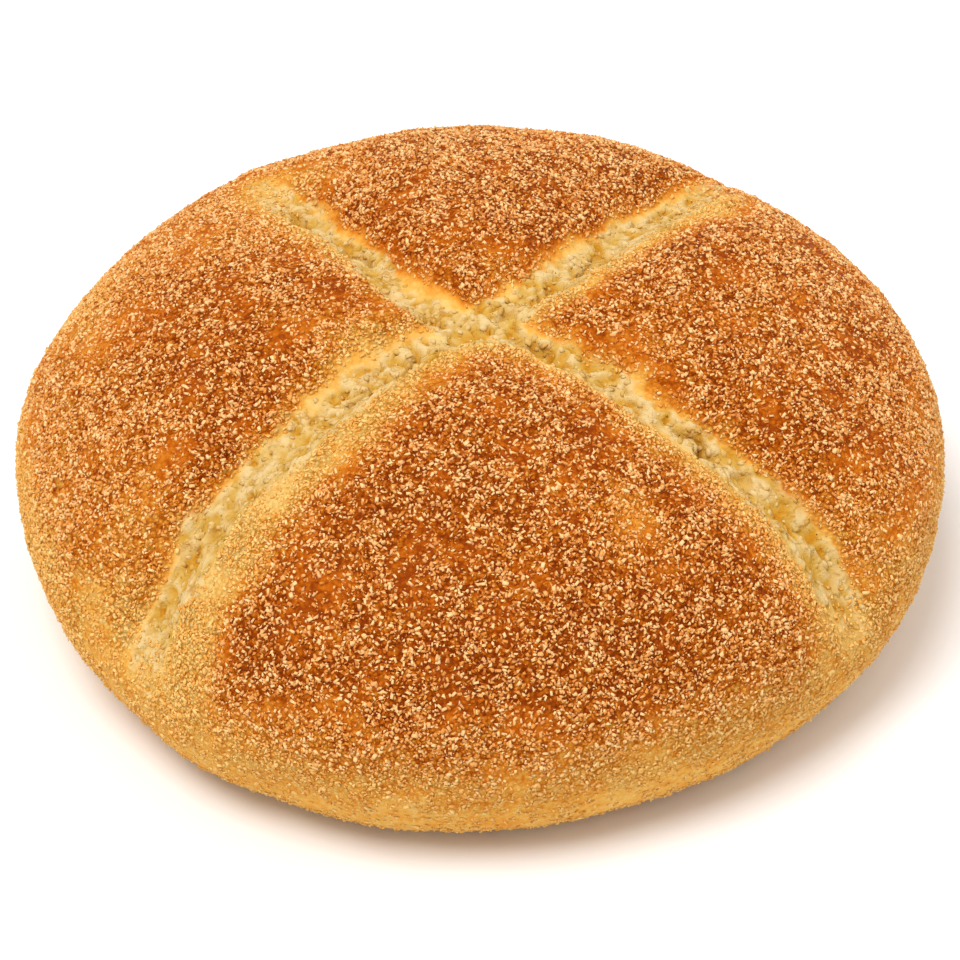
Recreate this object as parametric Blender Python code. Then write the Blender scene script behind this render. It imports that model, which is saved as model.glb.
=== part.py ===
"""A round bread roll, cut with a cross before baking and dusted with coarse semolina.

The roll is one solid. Four pillows of brown crust stand between the arms of the cross, whose
floors are torn crumb. The largest semolina grains are fused to the crust.

Metres, +Z up. The origin is on the flat underside, below the middle of the roll.
"""

import math
import random
from typing import NamedTuple

import bmesh
import bpy
from mathutils import Vector, noise


class Arm(NamedTuple):
    """One arm of the cross. Angles in degrees; a fade runs down from the crown."""

    bearing: float  # in plan, near the middle
    bend: float  # how much more it turns by the rim
    bow: float  # how far it bows out near the crossing, anticlockwise
    half_width: float  # from its middle to its lip
    fade_start: float
    fade_end: float


# Driving dimensions
RADIUS = 0.0550  # of the roll at its widest
DOME_RISE = 0.0286  # from the widest level up to the crown
WAIST_HEIGHT = 0.0162  # of the widest level above the tray
BASE_RADIUS = 0.0430  # of the flat underside
DOME_POWER = 2.08  # 2 is an ellipse, more is squarer
FOOT_POWER = 2.00
OUTLINE_SWELLS = (  # waves round the outline, share of the radius, bearing of a crest
    (2, 0.0080, 38.0),
    (3, 0.0066, 1.0),
    (4, 0.0060, -6.4),
    (5, 0.0054, 32.0),
)

# The cross. Before they are turned to their bearings the arms lie at 0, 90, 180 and 270 degrees.
ARMS = (
    Arm(46.0, bend=6.0, bow=-0.0012, half_width=0.0054, fade_start=42.0, fade_end=72.0),
    Arm(128.5, bend=2.5, bow=0.0026, half_width=0.0050, fade_start=32.0, fade_end=64.0),
    Arm(221.5, bend=1.5, bow=-0.0007, half_width=0.0056, fade_start=74.0, fade_end=108.0),
    Arm(323.0, bend=0.5, bow=0.0010, half_width=0.0051, fade_start=74.0, fade_end=106.0),
)
BOW_REACH = 0.0120  # from the crossing to where an arm bows out most
CROSS_CENTRE = (-0.0006, -0.0038)
ARM_DEPTH = 0.0025
WALL_POWER = 2.3  # how steep the walls of the cut are
PILLOW_DEPTH = 0.0024  # how far the crust sinks towards an arm
PILLOW_REACH = 0.0145
CROSSING_BLEND = 0.0040  # how far from the crossing two opposite arms blend

# Relief
CRUST_LUMP, CRUST_LUMP_SIZE = 0.00060, 0.0170
CRUST_DIMPLE, CRUST_DIMPLE_SIZE = 0.00020, 0.0042
TORN_CRAG, TORN_CRAG_SIZE = 0.00060, 0.0028
LIP_WANDER, LIP_WANDER_SIZE = 0.0011, 0.0070

# Mesh. Angles are in degrees down from the crown.
TOP_SEGMENTS = 96
GRID_AT_CROSS = 0.55  # width of a grid cell at the cross, as a share of the even width
SIDE_RINGS = 28
BASE_RINGS = 5
FOOT_RELIEF_ANGLE = 125.0  # below this the relief dies away
BASE_EDGE_ANGLE = 152.0  # the flat underside starts here
SLOPE_STEP = 0.002  # radians, for the outward direction
KEPT_TRIANGLES = 5600

# Semolina
GRAIN_SEED = 7
GRAIN_TRIES = 1500
GRAIN_GAP = 0.0060  # least distance between two grains
GRAIN_LARGEST, GRAIN_SMALLEST = 0.0016, 0.0011
GRAIN_WIDTH, GRAIN_HEIGHT = 0.80, 0.66  # shares of a grain's length
GRAIN_DENT, GRAIN_DENT_SIZE = 0.22, 0.33
GRAIN_SUNK = 0.30  # share of its half height that lies below the crust
GRAIN_LOWEST_ANGLE = 86.0
GRAIN_CUT_SHARE = 0.02  # none lies where the cut is deeper than this share

CRUST_COLOUR = (0.50, 0.17, 0.035, 1.0)
CRUST_ROUGHNESS = 0.72
SHARP_ANGLE = 50.0


def clear_scene():
    """Remove whatever the scene holds."""
    for old in list(bpy.data.objects):
        bpy.data.objects.remove(old, do_unlink=True)


def smooth_step(low, high, value):
    """0 below low, 1 above high and smooth between them."""
    share = min(1.0, max(0.0, (value - low) / (high - low)))
    return share * share * (3.0 - 2.0 * share)


def outline_factor(bearing):
    """How far the plan outline swells at this bearing, about 1."""
    swell = 1.0
    for waves, share, crest in OUTLINE_SWELLS:
        swell += share * math.cos(waves * (bearing - math.radians(crest)))
    return swell


def profile(angle):
    """(radius, height) of the smooth roll at this angle down from the crown."""
    base_edge = math.radians(BASE_EDGE_ANGLE)
    if angle <= math.pi / 2:
        reach = max(0.0, math.sin(angle)) ** (2.0 / DOME_POWER)
        rise = max(0.0, math.cos(angle)) ** (2.0 / DOME_POWER)
        return RADIUS * reach, WAIST_HEIGHT + DOME_RISE * rise
    if angle <= base_edge:
        turn = (angle - math.pi / 2) / (base_edge - math.pi / 2) * math.pi / 2
        reach = max(0.0, math.cos(turn)) ** (2.0 / FOOT_POWER)
        drop = max(0.0, math.sin(turn)) ** (2.0 / FOOT_POWER)
        return BASE_RADIUS + (RADIUS - BASE_RADIUS) * reach, WAIST_HEIGHT * (1.0 - drop)
    return BASE_RADIUS * (math.pi - angle) / (math.pi - base_edge), 0.0


def outward(angle, bearing):
    """The smooth roll's outward direction at this angle down and this bearing."""
    above = profile(max(0.0, angle - SLOPE_STEP))
    below = profile(min(math.pi, angle + SLOPE_STEP))
    out = above[1] - below[1]
    up = below[0] - above[0]
    return Vector((out * math.cos(bearing), out * math.sin(bearing), up)).normalized()


def true_bearing(turn, reach):
    """The plan bearing of a point, from its unturned one and its share of the radius."""
    bearing = turn
    for number, arm in enumerate(ARMS):
        unturned = 90.0 * number
        gap = (turn - math.radians(unturned) + math.pi) % (2 * math.pi) - math.pi
        if abs(gap) < math.pi / 2:
            shift = arm.bearing - unturned + arm.bend * reach
            bearing += math.cos(gap) ** 2 * math.radians(shift)
    return bearing


def line_shares(along, across, angle, near, far):
    """(cut, pillow) of the line that two opposite arms make, 1 on its middle."""
    side = smooth_step(-CROSSING_BLEND, CROSSING_BLEND, along)
    bow = near.bow * side + far.bow * (1.0 - side)
    reach = along / BOW_REACH
    across -= bow * reach * math.exp((1.0 - reach * reach) / 2.0)
    half_width = near.half_width * side + far.half_width * (1.0 - side)
    down = math.degrees(angle)
    near_fade = smooth_step(near.fade_start, near.fade_end, down)
    far_fade = smooth_step(far.fade_start, far.fade_end, down)
    left = 1.0 - (near_fade * side + far_fade * (1.0 - side))
    gap = min(1.0, abs(across) / half_width)
    cut = (1.0 - gap**WALL_POWER) ** 2
    pillow = 1.0 - smooth_step(0.0, PILLOW_REACH, abs(across))
    return cut * left, pillow * left


def cut_shares(x, y, angle):
    """(cut, pillow) at an unturned plan point: how deep it lies in the cut and on a shoulder."""
    place = Vector((x, y, 0.0)) / LIP_WANDER_SIZE
    wander_x = LIP_WANDER * noise.noise(place + Vector((3.1, 0.0, 7.7)))
    wander_y = LIP_WANDER * noise.noise(place + Vector((0.0, 9.4, 2.3)))
    first = line_shares(x, y + wander_y, angle, ARMS[0], ARMS[2])
    second = line_shares(y, -x - wander_x, angle, ARMS[1], ARMS[3])
    cut = 1.0 - (1.0 - first[0]) * (1.0 - second[0])
    pillow = 1.0 - (1.0 - first[1]) * (1.0 - second[1])
    return cut, pillow


def relief(point, cut):
    """How far the surface stands out of the smooth roll: lumps, dimples and torn crags."""
    lump = CRUST_LUMP * noise.noise(point / CRUST_LUMP_SIZE)
    dimple = CRUST_DIMPLE * noise.noise(point / CRUST_DIMPLE_SIZE + Vector((5.0, 1.0, 2.0)))
    crag = noise.noise(point / TORN_CRAG_SIZE + Vector((1.0, 8.0, 4.0)))
    return lump + dimple + TORN_CRAG * cut * (1.0 - 2.0 * abs(crag))


def roll_point(direction):
    """(point, outward direction, cut) of the roll for a direction of the unit ball."""
    angle = math.acos(max(-1.0, min(1.0, direction.z)))
    turn = math.atan2(direction.y, direction.x)
    radius, height = profile(angle)
    reach = min(1.0, radius / RADIUS)
    bearing = true_bearing(turn, reach)
    swollen = radius * outline_factor(bearing)
    slide = (1.0 - reach * reach) ** 2
    across = swollen * math.cos(bearing) + CROSS_CENTRE[0] * slide
    back = swollen * math.sin(bearing) + CROSS_CENTRE[1] * slide
    point = Vector((across, back, height))
    normal = outward(angle, bearing)
    cut, pillow = cut_shares(radius * math.cos(turn), radius * math.sin(turn), angle)
    foot = 1.0 - smooth_step(FOOT_RELIEF_ANGLE, BASE_EDGE_ANGLE, math.degrees(angle))
    stand = relief(point, cut) * foot - ARM_DEPTH * cut - PILLOW_DEPTH * pillow
    point += normal * stand
    point.z = max(0.0, point.z)
    return point, normal, cut


def ball_direction(angle, turn):
    """The unit direction at this angle down from the crown and this bearing."""
    out = math.sin(angle)
    return Vector((out * math.cos(turn), out * math.sin(turn), math.cos(angle)))


def crown_direction(across, back):
    """The unit direction of a crown grid point, with the grid lines closer at the cross."""
    sides = []
    for share in (across, back):
        graded = share * (GRID_AT_CROSS + (1.0 - GRID_AT_CROSS) * abs(share))
        sides.append(math.tan(graded * math.pi / 4))
    return Vector((sides[0], sides[1], 1.0)).normalized()


def ring_angle(start, ring):
    """How far down a ring lies, below a crown grid point that lies at start."""
    base_edge = math.radians(BASE_EDGE_ANGLE)
    if ring <= SIDE_RINGS:
        return start + (base_edge - start) * ring / SIDE_RINGS
    return base_edge + (math.pi - base_edge) * (ring - SIDE_RINGS) / BASE_RINGS


def unit_ball():
    """A closed unit ball: a square grid over the crown, then rings down the side and the base."""
    ball = bmesh.new()
    bmesh.ops.create_grid(ball, x_segments=TOP_SEGMENTS, y_segments=TOP_SEGMENTS, size=1.0)
    for vertex in ball.verts:
        vertex.co = crown_direction(vertex.co.x, vertex.co.y)
    rim = [edge for edge in ball.edges if edge.is_boundary]
    starts = {}
    for vertex in {end for edge in rim for end in edge.verts}:
        starts[vertex] = (math.acos(vertex.co.z), math.atan2(vertex.co.y, vertex.co.x))
    for ring in range(1, SIDE_RINGS + BASE_RINGS):
        made = bmesh.ops.extrude_edge_only(ball, edges=rim)["geom"]
        rim = [item for item in made if isinstance(item, bmesh.types.BMEdge) and item.is_boundary]
        below = {}
        for vertex in {end for edge in rim for end in edge.verts}:
            ends = [edge.other_vert(vertex) for edge in vertex.link_edges]
            start, turn = next(starts[end] for end in ends if end in starts)
            below[vertex] = (start, turn)
            vertex.co = ball_direction(ring_angle(start, ring), turn)
        starts = below
    cap = bmesh.ops.holes_fill(ball, edges=rim, sides=0)["faces"]
    bmesh.ops.poke(ball, faces=cap)
    bmesh.ops.recalc_face_normals(ball, faces=ball.faces)
    return ball


def crust_material():
    """Brown, matt crust."""
    crust = bpy.data.materials.new("baked_crust")
    crust.use_nodes = True
    shader = crust.node_tree.nodes["Principled BSDF"]
    shader.inputs["Base Color"].default_value = CRUST_COLOUR
    shader.inputs["Roughness"].default_value = CRUST_ROUGHNESS
    shader.inputs["Metallic"].default_value = 0.0
    return crust


def new_object(name, shape, holder):
    """An object in this collection that holds this mesh."""
    mesh = bpy.data.meshes.new(name)
    shape.to_mesh(mesh)
    shape.free()
    made = bpy.data.objects.new(name, mesh)
    holder.objects.link(made)
    return made


def apply_modifiers(target):
    """Replace an object's mesh by the one its modifiers make."""
    bpy.context.view_layer.update()
    graph = bpy.context.evaluated_depsgraph_get()
    finished = bpy.data.meshes.new_from_object(target.evaluated_get(graph))
    target.modifiers.clear()
    target.data = finished


def build_loaf():
    """(the roll without its grains, its middle before it was moved to the origin)."""
    ball = unit_ball()
    for vertex in ball.verts:
        vertex.co, _, _ = roll_point(vertex.co)
    xs = [vertex.co.x for vertex in ball.verts]
    ys = [vertex.co.y for vertex in ball.verts]
    middle = Vector(((min(xs) + max(xs)) / 2, (min(ys) + max(ys)) / 2, 0.0))
    bmesh.ops.translate(ball, verts=ball.verts, vec=-middle)
    bmesh.ops.triangulate(ball, faces=ball.faces)
    triangles = len(ball.faces)
    loaf = new_object("bread_roll", ball, bpy.context.scene.collection)
    thinner = loaf.modifiers.new("fewer_triangles", "DECIMATE")
    thinner.decimate_type = "COLLAPSE"
    thinner.ratio = KEPT_TRIANGLES / triangles
    apply_modifiers(loaf)
    return loaf, middle


def grain_spots():
    """(point, outward direction) of each grain: seeded draws, none near an earlier one."""
    draws = random.Random(GRAIN_SEED)
    lowest = math.cos(math.radians(GRAIN_LOWEST_ANGLE))
    spots = []
    for _ in range(GRAIN_TRIES):
        angle = math.acos(draws.uniform(lowest, 1.0))
        turn = draws.uniform(-math.pi, math.pi)
        point, normal, cut = roll_point(ball_direction(angle, turn))
        if cut > GRAIN_CUT_SHARE:
            continue
        if all((point - other).length > GRAIN_GAP for other, _ in spots):
            spots.append((point, normal))
    return spots


def add_grain(number, size, point, normal, holder):
    """One rough semolina grain, partly sunk in the crust."""
    grain = bmesh.new()
    bmesh.ops.create_icosphere(grain, subdivisions=1, radius=0.5)
    for vertex in grain.verts:
        place = vertex.co / GRAIN_DENT_SIZE + Vector((2.3 * number, 0.0, 0.0))
        vertex.co *= size * (1.0 + GRAIN_DENT * noise.noise(place))
    bmesh.ops.scale(grain, verts=grain.verts, vec=(1.0, GRAIN_WIDTH, GRAIN_HEIGHT))
    body = new_object(f"grain_{number}", grain, holder)
    body.rotation_mode = "QUATERNION"
    body.rotation_quaternion = Vector((0.0, 0.0, 1.0)).rotation_difference(normal)
    body.location = point + normal * (size * GRAIN_HEIGHT * 0.5 * (1.0 - GRAIN_SUNK))


def fuse_grains(loaf, middle):
    """One Boolean union joins every grain to the roll, the largest first."""
    holder = bpy.data.collections.new("grains")
    bpy.context.scene.collection.children.link(holder)
    spots = grain_spots()
    for number, (point, normal) in enumerate(spots):
        size = GRAIN_LARGEST + (GRAIN_SMALLEST - GRAIN_LARGEST) * number / len(spots)
        _, seat, _, _ = loaf.closest_point_on_mesh(point - middle)
        add_grain(number, size, seat, normal, holder)
    union = loaf.modifiers.new("grains", "BOOLEAN")
    union.operation = "UNION"
    union.operand_type = "COLLECTION"
    union.collection = holder
    union.solver = "EXACT"
    apply_modifiers(loaf)
    for grain in list(holder.objects):
        bpy.data.objects.remove(grain, do_unlink=True)
    bpy.data.collections.remove(holder)


def main():
    """Build the roll in the current scene."""
    clear_scene()
    loaf, middle = build_loaf()
    fuse_grains(loaf, middle)
    loaf.data.materials.clear()
    loaf.data.materials.append(crust_material())
    loaf.data.shade_smooth()
    loaf.data.set_sharp_from_angle(angle=math.radians(SHARP_ANGLE))


main()
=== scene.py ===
"""The looks of the cross-cut bread roll.

The crust and the crumb are one fine skin over the roll's own solid. Semolina grains, bran specks
and torn flecks of crumb lie on it as meshes of their own, at true size. Metres, +Z up.
"""

import logging
import math
from dataclasses import dataclass
from enum import Enum
from typing import NamedTuple

import bmesh
import bpy
import numpy as np
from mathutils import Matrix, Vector, noise


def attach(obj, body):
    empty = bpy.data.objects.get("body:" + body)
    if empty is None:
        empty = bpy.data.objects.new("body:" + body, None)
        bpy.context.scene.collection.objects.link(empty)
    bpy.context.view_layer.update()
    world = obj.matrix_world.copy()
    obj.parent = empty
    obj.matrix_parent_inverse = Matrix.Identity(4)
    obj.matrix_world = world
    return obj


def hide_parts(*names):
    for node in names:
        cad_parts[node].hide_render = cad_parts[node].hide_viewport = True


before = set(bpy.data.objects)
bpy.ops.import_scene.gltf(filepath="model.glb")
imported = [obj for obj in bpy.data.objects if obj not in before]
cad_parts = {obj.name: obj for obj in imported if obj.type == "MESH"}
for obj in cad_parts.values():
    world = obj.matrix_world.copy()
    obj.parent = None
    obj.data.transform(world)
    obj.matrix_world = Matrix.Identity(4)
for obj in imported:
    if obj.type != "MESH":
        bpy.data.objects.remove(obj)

Pair = tuple[float, float]
Colour = tuple[float, float, float]
Socket = bpy.types.NodeSocket

LOG = logging.getLogger("bread_roll")
NOISE_SEED = 7


def smooth_step(low: float, high: float, value: float) -> float:
    """Ease from 0 where a value is at low, or past it, to 1 where it is at high."""
    share = min(1.0, max(0.0, (value - low) / (high - low)))
    return share * share * (3.0 - 2.0 * share)


def ridged(place: Vector) -> float:
    """Noise with sharp crests: about 1 on a crest and -0.6 in a hollow."""
    return 1.0 - 2.0 * abs(noise.noise(place))


def blend(first: float, second: float, share: float) -> float:
    """The first value where share is 1, the second where it is 0, and between them elsewhere."""
    return first * share + second * (1.0 - share)


class Flank(NamedTuple):
    """One side of an arm, with distances from the arm's middle.

    The crust is pale up to pale_end and fully brown from brown_start. No semolina sticks to it up
    to clean_end. With a spread, the distances grow towards the arm's end and shrink towards the
    middle of the cross, each by half of that share.
    """

    pale_end: float
    brown_start: float
    clean_end: float
    spread: float = 0.0

    def blend(self, other: "Flank", share: float) -> "Flank":
        """This flank where share is 1, the other where it is 0, and between them elsewhere."""
        return Flank(*(blend(mine, theirs, share) for mine, theirs in zip(self, other)))


@dataclass(frozen=True)
class Arm:
    """One arm of the cross. Angles in degrees; a fade runs down from the crown.

    Its left is its anticlockwise side. The torn crumb lies tear_shift to the left of the middle
    and reaches tear_half to either side of that line.
    """

    bearing: float
    bend: float
    bow: float
    half_width: float
    fade_start: float
    fade_end: float
    tear_shift: float
    tear_half: float
    left: Flank
    right: Flank


@dataclass(frozen=True)
class Marks:
    """What the cross does to one point, each as a share from 0 to 1."""

    cut: float
    pillow: float
    brown: float
    crumb: float
    dusted: float
    fold: float


@dataclass(frozen=True)
class SurfacePoint:
    """A point of the skin and what the oven made of it."""

    place: Vector
    toast: float
    crumb: float
    grit: float
    rise: float


@dataclass(frozen=True)
class TornCrumb:
    """How torn crumb stands out. A pair is a height and the size of what stands so high, but for
    the edge of the pits."""

    warp: Pair = (0.00110, 0.0026)
    crag: Pair = (0.00040, 0.0036)
    curd: Pair = (0.00046, 0.0021)
    shred: Pair = (0.00008, 0.0008)
    pit: Pair = (0.00050, 0.0011)
    pit_edge: Pair = (0.24, 0.46)
    curd_top: float = 0.40
    crease_width: float = 0.40
    crease_depth: float = 0.50
    middle_rise: float = 0.46
    rise_gain: float = 0.60

    def height(self, point: Vector) -> float:
        """How far it stands out, in metres: crags, curds with creases, shreds and pits."""
        place = point + noise.noise_vector(point / self.warp[1]) * self.warp[0]
        crag = self.crag[0] * ridged(place / self.crag[1] + Vector((1.0, 8.0, 4.0)))
        near, _ = noise.voronoi(place / self.curd[1])
        crease = self.crease_depth * smooth_step(self.crease_width, 0.0, near[1] - near[0])
        curd = self.curd[0] * (self.curd_top - near[0] * near[0] - crease)
        shred = self.shred[0] * ridged(point / self.shred[1])
        hollow = noise.noise(place / self.pit[1] + Vector((2.0, 2.0, 9.0)))
        return crag + curd + shred - self.pit[0] * smooth_step(*self.pit_edge, hollow)

    # The skin's crumb colour follows this rise: painted shade in the pits, painted light on the shreds.
    def rise(self, height: float) -> float:
        """How high that is for torn crumb, from 0 in its pits to 1 on its shreds."""
        return max(0.0, min(1.0, self.middle_rise + self.rise_gain * height / self.curd[0]))


@dataclass(frozen=True)
class Oven:
    """How the oven browned the crust. A fade's ends are degrees down from the crown.

    A drift is a change and the size of its clouds. A patch is darker, or paler where its change is
    less than 0, and its numbers are its place across and back, its half sizes and the change.
    """

    crown: float = 0.92
    back_fade: Pair = (56.0, 88.0)
    front_shift: Pair = (14.0, 12.0)
    side_loss: float = 0.70
    foot_fade: Pair = (95.0, 125.0)
    foot_loss: float = 0.12
    under_fade: Pair = (136.0, 158.0)
    under: float = 0.50
    patch_fade: Pair = (95.0, 80.0)
    drifts: tuple[Pair, ...] = ((0.09, 0.012), (0.08, 0.0048))
    patches: tuple[tuple[float, ...], ...] = (
        (-0.0128, -0.0078, 0.0042, 0.0036, -0.42),
        (0.0170, -0.0350, 0.0045, 0.0045, -0.40),
        (-0.0050, 0.0360, 0.0090, 0.0060, 0.12),
        (-0.0340, 0.0180, 0.0120, 0.0100, -0.30),
        (-0.0480, -0.0120, 0.0090, 0.0200, -0.30),
        (0.0000, -0.0115, 0.0060, 0.0036, -0.16),
        (0.0300, 0.0000, 0.0120, 0.0100, -0.07),
        (0.0125, -0.0010, 0.0040, 0.0040, -0.10),
        (0.0210, -0.0120, 0.0090, 0.0050, -0.10),
        (0.0012, 0.0048, 0.0078, 0.0044, -0.25),
        (-0.0205, -0.0076, 0.0060, 0.0050, -0.15),
        (0.0198, -0.0070, 0.0065, 0.0050, -0.14),
        (-0.0390, -0.0310, 0.0070, 0.0090, -0.38),
        (0.0440, -0.0260, 0.0080, 0.0090, -0.32),
        (-0.0225, 0.0305, 0.0080, 0.0060, -0.50),
        (-0.0465, 0.0130, 0.0060, 0.0120, -0.36),
        (0.0500, -0.0050, 0.0060, 0.0140, -0.12),
    )

    def toast(self, place: Vector, down: float, bearing: float, brown: float) -> float:
        """How dark the crust is.

        Args:
            place: The point of the skin.
            down: Degrees down from the crown.
            bearing: Its plan bearing in radians.
            brown: The browning share that the cross leaves it.

        Returns:
            0 for pale dough to 1 for dark brown.
        """
        front = 0.5 - 0.5 * math.sin(bearing)
        start, end = (edge + shift * front for edge, shift in zip(self.back_fade, self.front_shift))
        side = 1.0 - self.side_loss * smooth_step(start, end, down)
        side -= self.foot_loss * smooth_step(*self.foot_fade, down)
        under = self.under * smooth_step(*self.under_fade, down)
        drift = sum(share * noise.noise(place / size) for share, size in self.drifts)
        patches = 0.0
        for across, back, width, depth, change in self.patches:
            gap = ((place.x - across) / width) ** 2 + ((place.y - back) / depth) ** 2
            patches += change * math.exp(-gap)
        heat = self.crown * side + under + drift + patches * smooth_step(*self.patch_fade, down)
        return max(0.0, min(1.0, heat * brown))


@dataclass(frozen=True)
class Cover:
    """How thickly the semolina lies. A fade's ends are degrees down from the crown."""

    side_fade: Pair = (84.0, 116.0)
    side_loss: float = 0.80
    foot_fade: Pair = (146.0, 138.0)
    patch_size: float = 0.0052
    patch_edge: Pair = (-0.42, 0.05)
    thinnest: float = 0.45

    def share(self, place: Vector, down: float) -> float:
        """How much of the crust it covers at a point of the skin, from 0 to 1."""
        low = 1.0 - self.side_loss * smooth_step(*self.side_fade, down)
        low *= smooth_step(*self.foot_fade, down)
        cloud = noise.noise(place / self.patch_size + Vector((7.0, 3.0, 1.0)))
        return low * (self.thinnest + (1.0 - self.thinnest) * smooth_step(*self.patch_edge, cloud))


@dataclass(frozen=True)
class RollShape:
    """The roll's form: a low dome on a rounded foot, parted by a cross into four pillows.

    A lump, dimple or pimple is a height and a size, and a wander is how far an edge strays and
    over what length.
    """

    radius: float = 0.0550
    dome_rise: float = 0.0286
    waist_height: float = 0.0162
    base_radius: float = 0.0430
    dome_power: float = 2.08
    swells: tuple[tuple[int, float, float], ...] = (
        (2, 0.0080, 38.0),
        (3, 0.0066, 1.0),
        (4, 0.0060, -6.4),
        (5, 0.0054, 32.0),
    )
    arms: tuple[Arm, ...] = (
        Arm(
            46.0, 6.0, -0.0012, 0.0054, 42.0, 72.0, -0.0014, 0.0038,
            Flank(0.0010, 0.0047, 0.0029), Flank(0.0036, 0.0108, 0.0032, 0.20),
        ),
        Arm(
            128.5, 2.5, 0.0026, 0.0050, 32.0, 64.0, 0.0008, 0.0027,
            Flank(0.0006, 0.0096, 0.0030, 0.50), Flank(0.0002, 0.0040, 0.0026),
        ),
        Arm(
            221.5, 1.5, -0.0007, 0.0056, 74.0, 108.0, 0.0017, 0.0038,
            Flank(0.0050, 0.0134, 0.0042, 0.32), Flank(0.0002, 0.0066, 0.0026, -0.45),
        ),
        Arm(
            323.0, 0.5, 0.0010, 0.0051, 74.0, 106.0, 0.0000, 0.0027,
            Flank(0.0003, 0.0052, 0.0023, -0.05), Flank(0.0004, 0.0106, 0.0026, 0.10),
        ),
    )
    bow_reach: float = 0.0120
    cross_centre: Pair = (-0.0006, -0.0038)
    arm_depth: float = 0.0025
    wall_power: float = 2.3
    pillow_depth: float = 0.0024
    pillow_reach: float = 0.0145
    crossing_blend: float = 0.0040
    crust_lump: Pair = (0.00060, 0.0170)
    crust_dimple: Pair = (0.00020, 0.0042)
    crust_pimple: Pair = (0.00010, 0.0016)
    lip_wander: Pair = (0.0011, 0.0070)
    tear_wander: Pair = (0.0016, 0.0060)
    tear_edge: Pair = (1.15, 0.55)
    flank_wander: Pair = (0.0011, 0.0040)
    fold_wander: float = 0.0016
    fold_waves: float = 2.5
    fold_breaks: Pair = (-0.10, 0.25)
    fold_width: float = 0.00065
    fold_depth: float = 0.00180
    fold_shade: float = 0.8
    dust_edge: float = 0.0008
    crumb_bare: float = 0.9
    bare_edge: Pair = (0.35, 0.80)
    crumb_edge: Pair = (0.15, 0.85)
    least_crumb: float = 0.01
    spread_reach: Pair = (0.0080, 0.0400)
    grain_room: float = 0.00025
    foot_relief_angle: float = 125.0
    base_edge_angle: float = 152.0
    crumb: TornCrumb = TornCrumb()
    oven: Oven = Oven()
    cover: Cover = Cover()

    def profile(self, angle: float) -> Pair:
        """The smooth roll's section.

        Args:
            angle: Radians down from the crown.

        Returns:
            Radius and height there.
        """
        base_edge = math.radians(self.base_edge_angle)
        if angle <= math.pi / 2:
            reach = max(0.0, math.sin(angle)) ** (2.0 / self.dome_power)
            rise = max(0.0, math.cos(angle)) ** (2.0 / self.dome_power)
            return self.radius * reach, self.waist_height + self.dome_rise * rise
        if angle <= base_edge:
            turn = (angle - math.pi / 2) / (base_edge - math.pi / 2) * math.pi / 2
            out = self.base_radius + (self.radius - self.base_radius) * max(0.0, math.cos(turn))
            return out, self.waist_height * (1.0 - max(0.0, math.sin(turn)))
        return self.base_radius * (math.pi - angle) / (math.pi - base_edge), 0.0

    def outward(self, angle: float, bearing: float) -> Vector:
        """The smooth roll's outward direction at this angle down and this bearing."""
        step = 0.002
        above = self.profile(max(0.0, angle - step))
        below = self.profile(min(math.pi, angle + step))
        out, up = above[1] - below[1], below[0] - above[0]
        return Vector((out * math.cos(bearing), out * math.sin(bearing), up)).normalized()

    def outline_factor(self, bearing: float) -> float:
        """How far the plan outline swells at this bearing, about 1."""
        return 1.0 + sum(
            share * math.cos(waves * (bearing - math.radians(crest)))
            for waves, share, crest in self.swells
        )

    def true_bearing(self, turn: float, reach: float) -> float:
        """The plan bearing of a point.

        Args:
            turn: Its bearing while the arms still lie square.
            reach: Its share of the radius.

        Returns:
            The bearing in radians.
        """
        bearing = turn
        for number, arm in enumerate(self.arms):
            square = 90.0 * number
            gap = (turn - math.radians(square) + math.pi) % (2 * math.pi) - math.pi
            if abs(gap) < math.pi / 2:
                shift = arm.bearing - square + arm.bend * reach
                bearing += math.cos(gap) ** 2 * math.radians(shift)
        return bearing

    def line_shares(self, along: float, across: float, down: float, near: Arm, far: Arm) -> Marks:
        """How the line of two opposite arms shapes and browns one point.

        Args:
            along: Along the line, towards the near arm.
            across: To the near arm's left.
            down: Degrees down from the crown.
            near: The arm on the positive side.
            far: The arm opposite it.

        Returns:
            Its marks there.
        """
        side = smooth_step(-self.crossing_blend, self.crossing_blend, along)
        reach = along / self.bow_reach
        across -= blend(near.bow, far.bow, side) * reach * math.exp((1.0 - reach * reach) / 2.0)
        near_fade = smooth_step(near.fade_start, near.fade_end, down)
        far_fade = smooth_step(far.fade_start, far.fade_end, down)
        left = 1.0 - blend(near_fade, far_fade, side)
        gap = min(1.0, abs(across) / blend(near.half_width, far.half_width, side))
        cut = (1.0 - gap**self.wall_power) ** 2
        pillow = 1.0 - smooth_step(0.0, self.pillow_reach, abs(across))
        if across > 0.0:
            flank = near.left.blend(far.right, side)
        else:
            flank = near.right.blend(far.left, side)
        ragged, size = self.flank_wander
        gap = abs(across) + ragged * noise.noise(Vector((along / size, across / size, far.bearing)))
        gap /= 1.0 + flank.spread * (smooth_step(*self.spread_reach, abs(along)) - 0.5)
        brown = smooth_step(flank.pale_end, flank.brown_start, gap)
        dusted = smooth_step(-self.dust_edge, self.dust_edge, gap - flank.clean_end)
        wander, size = self.tear_wander
        place = Vector((along / size, across / size, near.bearing))
        drift = wander * (noise.noise(place) + 0.5 * noise.noise(place * 4.0))
        tear_line = drift + near.tear_shift * side - far.tear_shift * (1.0 - side)
        tear_half = blend(near.tear_half, far.tear_half, side)
        crumb = left * smooth_step(*self.tear_edge, abs(across - tear_line) / tear_half)
        bend = self.fold_wander * noise.noise(place * self.fold_waves + Vector((4.0, 4.0, 4.0)))
        fold = math.exp(-(((across - tear_line - bend) / self.fold_width) ** 2))
        breaks = noise.noise(Vector((along / size, far.bearing, 1.0)))
        fold *= crumb * smooth_step(*self.fold_breaks, breaks)
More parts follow.
